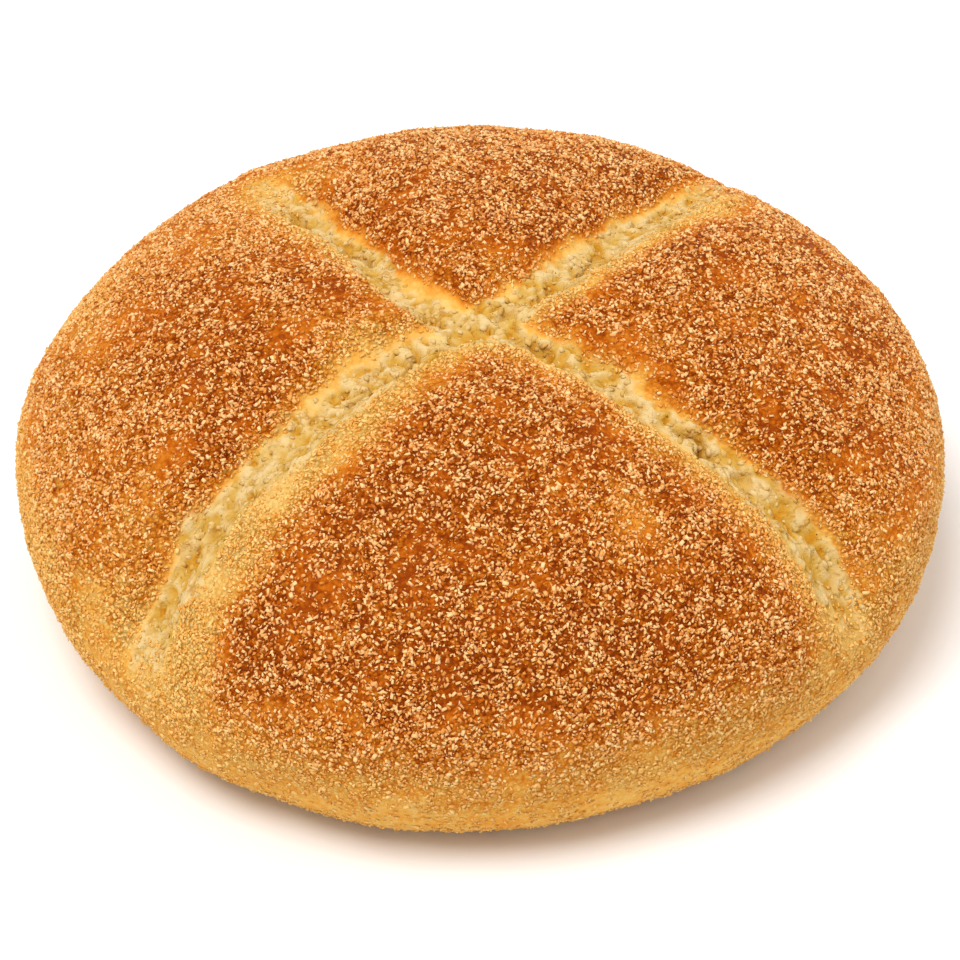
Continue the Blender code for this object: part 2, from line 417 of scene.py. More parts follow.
        dusted *= 1.0 - self.crumb_bare * smooth_step(*self.bare_edge, crumb)
        bare = 1.0 - (1.0 - dusted) * left
        return Marks(cut * left**2, pillow * left**2, 1.0 - (1.0 - brown) * left, crumb, bare, fold)

    def cross(self, x: float, y: float, down: float) -> Marks:
        """What the whole cross does to a point.

        Args:
            x: Across, while the arms still lie square.
            y: Towards the back, likewise.
            down: Degrees down from the crown.

        Returns:
            The marks of both lines together.
        """
        wander, size = self.lip_wander
        place = Vector((x, y, 0.0)) / size
        wander_x = wander * noise.noise(place + Vector((3.1, 0.0, 7.7)))
        wander_y = wander * noise.noise(place + Vector((0.0, 9.4, 2.3)))
        first = self.line_shares(x, y + wander_y, down, self.arms[0], self.arms[2])
        second = self.line_shares(y, -x - wander_x, down, self.arms[1], self.arms[3])
        return Marks(
            1.0 - (1.0 - first.cut) * (1.0 - second.cut),
            1.0 - (1.0 - first.pillow) * (1.0 - second.pillow),
            min(first.brown, second.brown),
            1.0 - (1.0 - first.crumb) * (1.0 - second.crumb),
            min(first.dusted, second.dusted),
            max(first.fold, second.fold),
        )

    def relief(self, point: Vector, share: float) -> Pair:
        """How the skin stands out of the smooth roll.

        Args:
            point: The point of the smooth roll.
            share: How much torn crumb shows there.

        Returns:
            How far it stands out, and how high that is for torn crumb, from 0 to 1.
        """
        lump = self.crust_lump[0] * noise.noise(point / self.crust_lump[1])
        place = point / self.crust_dimple[1] + Vector((5.0, 1.0, 2.0))
        dimple = self.crust_dimple[0] * noise.noise(place)
        pimple = self.crust_pimple[0] * noise.noise(point / self.crust_pimple[1])
        torn = self.crumb.height(point) if share > self.least_crumb else 0.0
        return lump + dimple + pimple + share * torn, self.crumb.rise(torn)

    def surface(self, direction: Vector) -> SurfacePoint:
        """The skin's point for a direction of the unit ball.

        Args:
            direction: A unit vector from the ball's middle.

        Returns:
            The place there and its browning, crumb and grit shares.
        """
        angle = math.acos(max(-1.0, min(1.0, direction.z)))
        turn = math.atan2(direction.y, direction.x)
        radius, height = self.profile(angle)
        reach = min(1.0, radius / self.radius)
        bearing = self.true_bearing(turn, reach)
        swollen = radius * self.outline_factor(bearing)
        slide = (1.0 - reach * reach) ** 2
        across = swollen * math.cos(bearing) + self.cross_centre[0] * slide
        back = swollen * math.sin(bearing) + self.cross_centre[1] * slide
        point = Vector((across, back, height))
        down = math.degrees(angle)
        across, back = radius * math.cos(turn), radius * math.sin(turn)
        marks = self.cross(across, back, down)
        foot = 1.0 - smooth_step(self.foot_relief_angle, self.base_edge_angle, down)
        relief, rise = self.relief(point, marks.crumb)
        stand = (relief - self.grain_room) * foot - self.fold_depth * marks.fold
        stand -= self.arm_depth * marks.cut + self.pillow_depth * marks.pillow
        place = point + self.outward(angle, bearing) * stand
        place.z = max(0.0, place.z)
        toast = self.oven.toast(place, down, bearing, marks.brown)
        grit = self.cover.share(place, down) * marks.dusted
        # Painted shade along the fold: it lowers the crumb's rise, which darkens its colour.
        rise *= 1.0 - self.fold_shade * marks.fold
        return SurfacePoint(place, toast, smooth_step(*self.crumb_edge, marks.crumb), grit, rise)


@dataclass
class Wiring:
    """Adds nodes to one node tree and joins them."""

    tree: bpy.types.NodeTree

    def add(self, kind: str, **inputs: object) -> bpy.types.Node:
        """Add a node.

        Args:
            kind: The node's type name.
            inputs: A value or a socket for each named input, with _ for a space.

        Returns:
            The node.
        """
        node = self.tree.nodes.new(kind)
        for name, value in inputs.items():
            self.feed(node.inputs[name.replace("_", " ")], value)
        return node

    def feed(self, socket: Socket, value: object) -> None:
        """Join a socket to an input, or give it a value, such as a colour's three numbers."""
        if isinstance(value, Socket):
            self.tree.links.new(value, socket)
        elif socket.type == "RGBA":
            socket.default_value = (*value, 1.0)
        else:
            socket.default_value = value

    def math(self, operation: str, first: object, second: object = 0.0) -> Socket:
        """The result of one Math node."""
        node = self.tree.nodes.new("ShaderNodeMath")
        node.operation = operation
        self.feed(node.inputs[0], first)
        self.feed(node.inputs[1], second)
        return node.outputs[0]

    def span(self, value: object, low: float, high: float) -> Socket:
        """0 to 1, smoothly, while the value goes from low to high."""
        node = self.tree.nodes.new("ShaderNodeMapRange")
        node.interpolation_type = "SMOOTHSTEP"
        self.feed(node.inputs["Value"], value)
        node.inputs["From Min"].default_value = low
        node.inputs["From Max"].default_value = high
        return node.outputs["Result"]

    def mix(self, share: object, first: object, second: object) -> Socket:
        """A colour between two, by share."""
        node = self.tree.nodes.new("ShaderNodeMix")
        node.data_type = "RGBA"
        self.feed(node.inputs[0], share)
        self.feed(node.inputs[6], first)
        self.feed(node.inputs[7], second)
        return node.outputs[2]

    def shade(self, share: object, colour: object, tint: Colour) -> Socket:
        """A colour multiplied by a tint, by share."""
        mixed = self.mix(share, colour, tint)
        mixed.node.blend_type = "MULTIPLY"
        return mixed

    def noise(self, place: object, scale: float, detail: float = 2.0) -> Socket:
        """The value of one Noise texture."""
        node = self.add("ShaderNodeTexNoise", Vector=place, Scale=scale, Detail=detail)
        return node.outputs["Fac"]

    def swing(self, place: object, scale: float, detail: float = 2.0) -> Socket:
        """The value of one Noise texture, about 0."""
        return self.math("SUBTRACT", self.noise(place, scale, detail), 0.5)

    def attribute(self, name: str) -> Socket:
        """The value of one of the mesh's own attributes."""
        node = self.tree.nodes.new("ShaderNodeAttribute")
        node.attribute_name = name
        return node.outputs["Fac"]

    def place(self) -> Socket:
        """The point in the object's own coordinates."""
        return self.tree.nodes.new("ShaderNodeTexCoord").outputs["Object"]

    def bump(self, shader: bpy.types.Node, height: object, distance: float) -> None:
        """Roughen a shader's surface by a height, of which 1 stands for this distance."""
        node = self.add("ShaderNodeBump", Height=height, Distance=distance)
        self.feed(shader.inputs["Normal"], node.outputs["Normal"])

    def ramp(self, value: object, stops: dict[float, Colour]) -> Socket:
        """A colour read along a ramp.

        Args:
            value: Where to read it.
            stops: The colour at each place.

        Returns:
            The colour's socket.
        """
        node = self.add("ShaderNodeValToRGB", Fac=value)
        points = node.color_ramp.elements
        while len(points) < len(stops):
            points.new(0.5)
        for point, (place, colour) in zip(points, stops.items()):
            point.position = place
            point.color = (*colour, 1.0)
        return node.outputs["Color"]


def srgb(red: int, green: int, blue: int) -> Colour:
    """A colour in the shader's linear values, from the values of a picture."""
    shares = [value / 255.0 for value in (red, green, blue)]
    return tuple(s / 12.92 if s < 0.04045 else ((s + 0.055) / 1.055) ** 2.4 for s in shares)


class Effect(Enum):
    """The surface effects that several finishes share."""

    BROWNING = "browning"
    CRUST_GRIT = "crust_grit"
    CRUMB_TEAR = "crumb_tear"


@dataclass(frozen=True)
class EffectShelf:
    """Builds each shared effect once, as a shader node group."""

    pale: Colour = srgb(230, 190, 112)
    golden: Colour = srgb(228, 170, 76)
    orange: Colour = srgb(217, 135, 41)
    brown: Colour = srgb(193, 98, 15)
    dark: Colour = srgb(149, 63, 9)
    # crease and pit paint shade into the torn crumb's seams and pits; raised paints light onto its
    # shreds.
    crease: Colour = srgb(184, 128, 40)
    pit: Colour = srgb(200, 138, 36)
    torn: Colour = srgb(202, 159, 71)
    raised: Colour = srgb(220, 191, 134)
    skin_height: float = 0.8
    shred_tone: float = 0.7
    cloud_tone: float = 0.9
    shred_height: float = 0.8
    flap_height: float = 0.5
    seam_shade_strength: float = 0.7

    def new_group(
        self, effect: Effect, inputs: dict[str, float], outputs: dict[str, str]
    ) -> tuple[Wiring, object, object]:
        """Start a node group with a vector input.

        Args:
            effect: Which effect it is.
            inputs: The name and default of each number that it takes.
            outputs: The name of each output, and whether it is a Color or a Float.

        Returns:
            Its wiring, its input node's sockets and its output node's sockets.
        """
        tree = bpy.data.node_groups.new(effect.value, "ShaderNodeTree")
        tree.interface.new_socket("Vector", in_out="INPUT", socket_type="NodeSocketVector")
        for name, default in inputs.items():
            socket = tree.interface.new_socket(name, in_out="INPUT", socket_type="NodeSocketFloat")
            socket.default_value = default
        for name, kind in outputs.items():
            tree.interface.new_socket(name, in_out="OUTPUT", socket_type=f"NodeSocket{kind}")
        given, result = tree.nodes.new("NodeGroupInput"), tree.nodes.new("NodeGroupOutput")
        return Wiring(tree), given.outputs, result.inputs

    def browning(self) -> bpy.types.NodeTree:
        """The colour of baked dough from pale to dark, mottled."""
        numbers = {"Toast": 0.5, "Mottle": 0.1}
        wiring, given, result = self.new_group(Effect.BROWNING, numbers, {"Color": "Color"})
        coarse = wiring.swing(given["Vector"], scale=420.0, detail=3.0)
        fine = wiring.swing(given["Vector"], scale=1500.0)
        wobble = wiring.math("MULTIPLY", wiring.math("ADD", coarse, fine), given["Mottle"])
        toast = wiring.math("ADD", given["Toast"], wobble)
        stops = {0.0: self.pale, 0.22: self.golden, 0.48: self.orange, 0.76: self.brown, 1.0: self.dark}
        wiring.feed(result["Color"], wiring.ramp(toast, stops))
        return wiring.tree

    def crust_grit(self) -> bpy.types.NodeTree:
        """Grains baked into the crust: a height, each grain's own tint, and the gaps between them,
        which take painted shade, partly also darker crust.
        """
        made = {"Height": "Float", "Tint": "Float", "Gap": "Float"}
        wiring, given, result = self.new_group(Effect.CRUST_GRIT, {"Grit": 1.0}, made)
        place, grit = given["Vector"], given["Grit"]
        cells = wiring.add("ShaderNodeTexVoronoi", Vector=place, Scale=1900.0)
        away = cells.outputs["Distance"]
        body = wiring.math("SUBTRACT", 1.0, wiring.span(away, low=0.08, high=0.70))
        draw = wiring.add("ShaderNodeSeparateColor", Color=cells.outputs["Color"])
        tint = wiring.math("SUBTRACT", draw.outputs[0], 0.5)
        skin = wiring.noise(place, scale=1100.0, detail=3.0)
        skin = wiring.math("MULTIPLY", skin, self.skin_height)
        height = wiring.math("ADD", wiring.math("MULTIPLY", body, grit), skin)
        wiring.feed(result["Height"], height)
        wiring.feed(result["Tint"], wiring.math("MULTIPLY", tint, grit))
        gap = wiring.span(away, low=0.40, high=0.80)
        wiring.feed(result["Gap"], wiring.math("MULTIPLY", gap, grit))
        return wiring.tree

    def crumb_tear(self) -> bpy.types.NodeTree:
        """Torn crumb: its colour from painted shade in the pits to painted light on the raised shreds,
        with painted shade along thin seams, and a fine height.
        """
        made = {"Color": "Color", "Height": "Float"}
        wiring, given, result = self.new_group(Effect.CRUMB_TEAR, {"Rise": 0.5}, made)
        place = given["Vector"]
        shreds = wiring.swing(place, scale=760.0, detail=4.0)
        level = wiring.math("ADD", given["Rise"], wiring.math("MULTIPLY", shreds, self.shred_tone))
        cloud = wiring.math("MULTIPLY", wiring.swing(place, scale=240.0), self.cloud_tone)
        level = wiring.math("ADD", level, cloud)
        # Lower levels paint shade into the pits and higher ones paint light onto the shreds; the fine
        # part follows the same noise as the fine height.
        colour = wiring.ramp(level, {0.0: self.pit, 0.40: self.torn, 1.0: self.raised})
        flaps = wiring.swing(place, scale=640.0, detail=3.0)
        # Painted shade along thin seams between the flaps.
        seam_shade = wiring.span(wiring.math("ABSOLUTE", flaps), low=0.070, high=0.0)
        breaks = wiring.span(wiring.noise(place, scale=300.0), low=0.48, high=0.66)
        seam_shade = wiring.math("MULTIPLY", wiring.math("MULTIPLY", seam_shade, breaks), self.seam_shade_strength)
        wiring.feed(result["Color"], wiring.mix(seam_shade, colour, self.crease))
        flap = wiring.math("MULTIPLY", wiring.span(flaps, low=-0.12, high=0.12), self.flap_height)
        fine = wiring.math("MULTIPLY", shreds, self.shred_height)
        wiring.feed(result["Height"], wiring.math("ADD", fine, flap))
        return wiring.tree

    def get(self, effect: Effect) -> bpy.types.NodeTree:
        """The effect's node group, built the first time it is asked for."""
        found = bpy.data.node_groups.get(effect.value)
        return found or getattr(self, effect.value)()


@dataclass(frozen=True)
class Finish:
    """A material of one Principled BSDF. Each kind of finish has a colour method, which gives the
    colour and joins whatever else varies over the surface."""

    name: str
    roughness: float = 0.7
    specular: float = 0.06
    glint: Colour = srgb(255, 214, 150)
    shelf: EffectShelf = EffectShelf()

    def material(self) -> bpy.types.Material:
        """Make the material.

        Returns:
            The material, with its uniform values set and all that varies joined.
        """
        material = bpy.data.materials.new(self.name)
        material.use_nodes = True
        shader = material.node_tree.nodes["Principled BSDF"]
        shader.inputs["Roughness"].default_value = self.roughness
        shader.inputs["Specular IOR Level"].default_value = self.specular
        shader.inputs["Specular Tint"].default_value = (*self.glint, 1.0)
        wiring = Wiring(material.node_tree)
        wiring.feed(shader.inputs["Base Color"], self.colour(wiring, shader))
        return material

    def effect(self, wiring: Wiring, effect: Effect, **inputs: object) -> bpy.types.Node:
        """Place a shared effect in the material with its own values."""
        node = wiring.tree.nodes.new("ShaderNodeGroup")
        node.node_tree = self.shelf.get(effect)
        for name, value in inputs.items():
            wiring.feed(node.inputs[name], value)
        return node


@dataclass(frozen=True)
class SkinFinish(Finish):
    """Crust that turns into crumb inside the cut."""

    roughness: float = 0.80
    toasted_gloss: float = 0.18
    mottle: float = 0.60
    grain_tint: float = 0.50
    # Painted shade in the gaps between baked-in grains, partly also darker crust there.
    gap_shade: Colour = (0.50, 0.34, 0.14)
    bump_height: float = 0.00034

    def colour(self, wiring: Wiring, shader: bpy.types.Node) -> Socket:
        """The colour, from the skin's toast, crumb, grit and rise attributes."""
        place = wiring.place()
        toast, crumb = wiring.attribute("toast"), wiring.attribute("crumb")
        sand, rise = wiring.attribute("grit"), wiring.attribute("rise")
        grit = self.effect(wiring, Effect.CRUST_GRIT, Vector=place, Grit=sand)
        tinted = wiring.math("MULTIPLY", grit.outputs["Tint"], self.grain_tint)
        heat = wiring.math("ADD", toast, tinted)
        brown = self.effect(wiring, Effect.BROWNING, Vector=place, Toast=heat, Mottle=self.mottle)
        # The crust darkens in the gaps between grains: painted shade, partly also darker crust.
        crust = wiring.shade(grit.outputs["Gap"], brown.outputs["Color"], self.gap_shade)
        # The crumb's colour follows its rise: painted shade in the pits, painted light on the shreds.
        tear = self.effect(wiring, Effect.CRUMB_TEAR, Vector=place, Rise=rise)
        inside = wiring.math("MULTIPLY", tear.outputs["Height"], crumb)
        outside = wiring.math("MULTIPLY", grit.outputs["Height"], wiring.math("SUBTRACT", 1.0, crumb))
        wiring.bump(shader, wiring.math("ADD", inside, outside), self.bump_height)
        gloss = wiring.math("MULTIPLY", toast, self.toasted_gloss)
        wiring.feed(shader.inputs["Roughness"], wiring.math("SUBTRACT", self.roughness, gloss))
        return wiring.mix(crumb, crust, tear.outputs["Color"])


@dataclass(frozen=True)
class GrainFinish(Finish):
    """Semolina, from pale to toasted by where it lies and by its own shade."""

    raw: Colour = srgb(250, 210, 146)
    baked: Colour = srgb(231, 155, 73)
    spared: Colour = srgb(245, 206, 126)
    spared_dark: Colour = srgb(229, 160, 67)
    toast_share: float = 0.55
    toast_gain: float = 0.9
    mottle: float = 0.3
    bump_height: float = 0.00004

    def colour(self, wiring: Wiring, shader: bpy.types.Node) -> Socket:
        """The colour, from the grains' toast and shade attributes."""
        place = wiring.place()
        toast, shade = wiring.attribute("toast"), wiring.attribute("shade")
        grain = wiring.mix(shade, self.raw, self.baked)
        heat = wiring.math("MULTIPLY", toast, self.toast_gain)
        brown = self.effect(wiring, Effect.BROWNING, Vector=place, Toast=heat, Mottle=self.mottle)
        share = wiring.math("MULTIPLY", wiring.span(shade, low=0.1, high=1.0), self.toast_share)
        grain = wiring.mix(share, grain, brown.outputs["Color"])
        spared = wiring.mix(shade, self.spared, self.spared_dark)
        baked_here = wiring.span(toast, low=0.10, high=0.60)
        wiring.bump(shader, wiring.noise(place, scale=4200.0), self.bump_height)
        return wiring.mix(baked_here, spared, grain)


@dataclass(frozen=True)
class FleckFinish(Finish):
    """Torn bits of crumb, coloured from the torn crumb's ramp above its painted-shade pits, towards the
    painted light of the shreds.
    """

    roughness: float = 0.8
    lowest: float = 0.4

    def colour(self, wiring: Wiring, shader: bpy.types.Node) -> Socket:
        """The colour, from the flecks' shade attribute."""
        rise = wiring.math("MULTIPLY", wiring.attribute("shade"), 1.0 - self.lowest)
        rise = wiring.math("ADD", rise, self.lowest)
        tear = self.effect(wiring, Effect.CRUMB_TEAR, Vector=wiring.place(), Rise=rise)
        return tear.outputs["Color"]


@dataclass(frozen=True)
class BranFinish(Finish):
    """Dark bran, from reddish brown to nearly black."""

    roughness: float = 0.6
    light: Colour = srgb(128, 66, 24)
    dark: Colour = srgb(58, 30, 14)

    def colour(self, wiring: Wiring, shader: bpy.types.Node) -> Socket:
        """The colour, from the specks' shade attribute."""
        drift = wiring.swing(wiring.place(), scale=5000.0)
        tone = wiring.math("ADD", wiring.attribute("shade"), drift)
        return wiring.mix(tone, self.light, self.dark)


@dataclass(frozen=True)
class TableFinish(Finish):
    """White paint with faint broad clouds."""

    white: Colour = (0.93, 0.93, 0.93)
    soft: Colour = (0.90, 0.90, 0.90)

    def colour(self, wiring: Wiring, shader: bpy.types.Node) -> Socket:
        """The colour, nearly even."""
        return wiring.mix(wiring.noise(wiring.place(), scale=3.0), self.white, self.soft)


def linked(name: str, data: bpy.types.ID) -> bpy.types.Object:
    """An object of this name and data, in the scene."""
    made = bpy.data.objects.new(name, data)
    bpy.context.scene.collection.objects.link(made)
    return made


def add_share(mesh: bpy.types.Mesh, name: str, values: np.ndarray) -> None:
    """Give each vertex a number that the materials read."""
    attribute = mesh.attributes.new(name, "FLOAT", "POINT")
    attribute.data.foreach_set("value", values.astype(np.float32))


def column(items: object, name: str, width: int = 1) -> np.ndarray:
    """One number, or width of them, for each item of a mesh."""
    values = np.empty(len(items) * width)
    items.foreach_get(name, values)
    return values.reshape(-1, width) if width > 1 else values


@dataclass
class SkinMesh:
    """The skin's points, faces and shares as arrays, for scattering."""

    corners: np.ndarray
    normals: np.ndarray
    faces: np.ndarray
    areas: np.ndarray
    toast: np.ndarray
    crumb: np.ndarray
    grit: np.ndarray


@dataclass(frozen=True)
class RollSkin:
    """The fine skin of the roll, which stands for the whole solid."""

    shape: RollShape = RollShape()
    top_segments: int = 190
    grid_at_cross: float = 0.50
    side_rings: int = 62
    base_rings: int = 9
    name: str = "crust_and_crumb"

    def direction(self, angle: float, turn: float) -> Vector:
        """The unit direction at this angle down from the crown and this bearing."""
        out = math.sin(angle)
        return Vector((out * math.cos(turn), out * math.sin(turn), math.cos(angle)))

    def crown_direction(self, across: float, back: float) -> Vector:
        """The unit direction of a crown grid point, with grid lines closer at the cross."""
        sides = []
        for share in (across, back):
            graded = share * (self.grid_at_cross + (1.0 - self.grid_at_cross) * abs(share))
            sides.append(math.tan(graded * math.pi / 4))
        return Vector((sides[0], sides[1], 1.0)).normalized()

    def ring_angle(self, start: float, ring: int) -> float:
        """How far down a ring lies, below a crown grid point that lies at start."""
        base_edge = math.radians(self.shape.base_edge_angle)
        if ring <= self.side_rings:
            return start + (base_edge - start) * ring / self.side_rings
        return base_edge + (math.pi - base_edge) * (ring - self.side_rings) / self.base_rings

    def ball(self) -> bmesh.types.BMesh:
        """A closed unit ball: a square grid over the crown, then rings down side and base."""
        ball = bmesh.new()
        segments = self.top_segments
        bmesh.ops.create_grid(ball, x_segments=segments, y_segments=segments, size=1.0)
        for vertex in ball.verts:
            vertex.co = self.crown_direction(vertex.co.x, vertex.co.y)
        rim = [edge for edge in ball.edges if edge.is_boundary]
        starts = {}
        for vertex in {end for edge in rim for end in edge.verts}:
            starts[vertex] = (math.acos(vertex.co.z), math.atan2(vertex.co.y, vertex.co.x))
        for ring in range(1, self.side_rings + self.base_rings):
            made = bmesh.ops.extrude_edge_only(ball, edges=rim)["geom"]
            rim = [item for item in made if isinstance(item, bmesh.types.BMEdge) and item.is_boundary]
            below = {}
            for vertex in {end for edge in rim for end in edge.verts}:
                ends = [edge.other_vert(vertex) for edge in vertex.link_edges]
                start, turn = next(starts[end] for end in ends if end in starts)
                below[vertex] = (start, turn)
                vertex.co = self.direction(self.ring_angle(start, ring), turn)
            starts = below
        cap = bmesh.ops.holes_fill(ball, edges=rim, sides=0)["faces"]
        bmesh.ops.poke(ball, faces=cap)
        bmesh.ops.recalc_face_normals(ball, faces=ball.faces)
        return ball

    def build(self) -> bpy.types.Object:
        """Make the skin.

        Returns:
            The object, which rides on the root and stands for the solid.
        """
        ball = self.ball()
        points = [self.shape.surface(vertex.co) for vertex in ball.verts]
        for vertex, point in zip(ball.verts, points):
            vertex.co = point.place
        plan = np.array([point.place.xy for point in points])
        middle = (plan.min(axis=0) + plan.max(axis=0)) / 2
        bmesh.ops.translate(ball, verts=ball.verts, vec=(-middle[0], -middle[1], 0.0))
        bmesh.ops.triangulate(ball, faces=ball.faces)
        mesh = bpy.data.meshes.new(self.name)
        ball.to_mesh(mesh)
        ball.free()
        for share in ("toast", "crumb", "grit", "rise"):
            add_share(mesh, share, np.array([getattr(point, share) for point in points]))
        mesh.shade_smooth()
        skin = linked(self.name, mesh)
        mesh.materials.append(SkinFinish("baked_crust_and_crumb").material())
        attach(skin, "root")
        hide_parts("bread_roll")
        LOG.info("%s: %d triangles", self.name, len(mesh.polygons))
        return skin

    def arrays(self, skin: bpy.types.Object) -> SkinMesh:
        """Read the skin for scattering, its points and faces sorted by where they lie."""
        mesh = skin.data
        corners = column(mesh.vertices, "co", 3)
        order = np.lexsort(corners.T)
        ends = column(mesh.loops, "vertex_index").astype(np.int64).reshape(-1, 3)
        faces = np.sort(np.argsort(order)[ends], axis=1)
        sides = np.lexsort(faces.T)
        return SkinMesh(
            corners[order],
            column(mesh.vertices, "normal", 3)[order],
            faces[sides],
            column(mesh.polygons, "area")[sides],
            *(
                column(mesh.attributes[name].data, "value")[order]
                for name in ("toast", "crumb", "grit")
            ),
        )


class Body(Enum):
    """The forms that a scattered grain starts from."""

    CHIP = "chip"
    SHARD = "shard"
    MOTE = "mote"


@dataclass(frozen=True)
class Litter:
    """One kind of small thing scattered over the skin.

    A thing is up to sizes[1] long, sunk by a share of its thickness, and leans by about tilt. With
    clumps, that share of the things is left out where the clouds of clump_size are thin.
    """

    name: str
    body: Body
    count: int
    sizes: Pair
    gap: float
    sunk: float
    tilt: float
    seed: int
    finish: Finish
    clumps: float = 0.3
    clump_size: float = 0.0032
    clump_edge: Pair = (0.15, -0.25)
    slender: float = 0.54
    flat: float = 0.46
    rough: float = 0.30
    variants: int = 8
    tries: int = 4
    small_share: float = 1.6
    smooth: bool = False
    slot: str = "baked_crust"

    def prototype(self, number: int) -> tuple[np.ndarray, np.ndarray]:
        """One rough body, about 1 long, with its flat side down.

        Args:
            number: Which variant to make.

        Returns:
            Its corners and its triangles.
        """
        body = bmesh.new()
        if self.body is Body.CHIP:
            bmesh.ops.create_icosphere(body, subdivisions=1, radius=0.5)
        elif self.body is Body.SHARD and number % 2:
            bmesh.ops.create_cone(
                body, cap_ends=True, segments=3, radius1=0.60, radius2=0.42, depth=0.75
            )
        elif self.body is Body.SHARD:
            bmesh.ops.create_cube(body, size=0.8)
        else:
            bmesh.ops.create_uvsphere(body, u_segments=4, v_segments=2, radius=0.5)
        shift = Vector((11.3 * number + self.seed, 4.1 * number, 2.7))
        for vertex in body.verts:
            rough = noise.noise_vector(vertex.co * 2.2 + shift)
            vertex.co += rough * self.rough
        stretch = noise.noise_vector(shift * 1.7)
        size = (1.0, self.slender + 0.22 * stretch.x, self.flat + 0.16 * stretch.y)
        bmesh.ops.scale(body, verts=body.verts, vec=size)
        bmesh.ops.triangulate(body, faces=body.faces)
        bmesh.ops.recalc_face_normals(body, faces=body.faces)
        body.verts.index_update()
        corners = np.array([vertex.co[:] for vertex in body.verts])
        faces = np.array([[corner.index for corner in face.verts] for face in body.faces])
        body.free()
        return corners, faces

    def spots(self, skin: SkinMesh, thickness: np.ndarray) -> tuple[np.ndarray, ...]:
        """Draw the places, none nearer to another than the gap.

        Args:
            skin: The skin to scatter over.
            thickness: How thickly each vertex is covered, from 0 to 1.

        Returns:
            Places, outward directions and browning shares.
        """
        draws = np.random.default_rng(self.seed)
        weights = skin.areas * thickness[skin.faces].mean(axis=1)
        tried = self.count * self.tries
        chosen = draws.choice(len(weights), tried, p=weights / weights.sum())
        mixes = draws.dirichlet((1.0, 1.0, 1.0), tried)
        luck = draws.random(tried)
        ends = skin.faces[chosen]
        places = np.einsum("ni,nij->nj", mixes, skin.corners[ends])
        kept, taken = [], {}
        cells = np.floor(places / self.gap).astype(int)
        for number, (cell, place) in enumerate(zip(map(tuple, cells), places)):
            drift = noise.noise(Vector(place) / self.clump_size)
            if luck[number] < self.clumps * smooth_step(*self.clump_edge, drift):
                continue
            near = (
                taken.get((cell[0] + i, cell[1] + j, cell[2] + k))
                for i in (-1, 0, 1) for j in (-1, 0, 1) for k in (-1, 0, 1)
            )
            taken_near = (other for other in near if other is not None)
            if any(np.sum((other - place) ** 2) < self.gap**2 for other in taken_near):
                continue
            taken[cell] = place
            kept.append(number)
            if len(kept) == self.count:
                break
        normals = np.einsum("ni,nij->nj", mixes[kept], skin.normals[ends[kept]])
        normals /= np.linalg.norm(normals, axis=1, keepdims=True)
        toast = np.einsum("ni,ni->n", mixes[kept], skin.toast[ends[kept]])
        return places[kept], normals, toast

    def turns(self, normals: np.ndarray, draws: np.random.Generator) -> np.ndarray:
        """A turning matrix for each piece: flat on the skin, spun and a little tilted."""
        count = len(normals)
        lean = normals + draws.normal(0.0, self.tilt, (count, 3))
        up = lean / np.linalg.norm(lean, axis=1, keepdims=True)
        aside = np.cross(up, draws.normal(size=(count, 3)))
        aside /= np.linalg.norm(aside, axis=1, keepdims=True)
        return np.stack([aside, np.cross(up, aside), up], axis=2)

    def build(self, skin: SkinMesh, thickness: np.ndarray) -> bpy.types.Object:
        """Scatter the pieces as one joined mesh.

        Args:
            skin: The skin to scatter over.
            thickness: How thickly each vertex is covered, from 0 to 1.

        Returns:
            The object, which rides on the root.
        """
        places, normals, toast = self.spots(skin, thickness)
        draws = np.random.default_rng(self.seed + 1)
        turns = self.turns(normals, draws)
        count = len(places)
        smallest, largest = self.sizes
        sizes = smallest + (largest - smallest) * draws.random(count) ** self.small_share
        shades = draws.random(count)
        kinds = draws.integers(0, self.variants, count)
        corners, faces, tones, toasts, done = [], [], [], [], 0
        for kind in range(self.variants):
            mine = np.flatnonzero(kinds == kind)
            shape, sides = self.prototype(kind)
            low = shape[:, 2].min()
            seated = shape - np.array([0.0, 0.0, low + self.sunk * np.ptp(shape[:, 2])])
            scaled = seated[None] * sizes[mine, None, None]
            moved = np.einsum("nij,nkj->nki", turns[mine], scaled) + places[mine, None]
            starts = done + np.arange(len(mine)) * len(shape)
            corners.append(moved.reshape(-1, 3))
            faces.append((sides[None] + starts[:, None, None]).reshape(-1, 3))
            tones.append(np.repeat(shades[mine], len(shape)))
            toasts.append(np.repeat(toast[mine], len(shape)))
            done += len(mine) * len(shape)
        made = joined_mesh(self.name, np.concatenate(corners), np.concatenate(faces))
        add_share(made.data, "shade", np.concatenate(tones))
        add_share(made.data, "toast", np.concatenate(toasts))
        if self.smooth:
            made.data.shade_smooth()
        made.data.materials.append(self.finish.material())
        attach(made, "root")
        LOG.info("%s: %d pieces, %d triangles", self.name, count, len(made.data.polygons))
        return made


def joined_mesh(name: str, corners: np.ndarray, faces: np.ndarray) -> bpy.types.Object:
    """Make one object of many scattered pieces.

    Args:
        name: The object's name.
        corners: All corners.
        faces: All triangles, as corner numbers.

    Returns:
        The linked object.
    """
    mesh = bpy.data.meshes.new(name)
    mesh.vertices.add(len(corners))
    mesh.vertices.foreach_set("co", corners.astype(np.float32).ravel())
    mesh.loops.add(faces.size)
    mesh.loops.foreach_set("vertex_index", faces.astype(np.int32).ravel())
    mesh.polygons.add(len(faces))
    mesh.polygons.foreach_set("loop_start", np.arange(0, faces.size, 3, dtype=np.int32))
    mesh.update(calc_edges=True)
    mesh.validate()
    return linked(name, mesh)


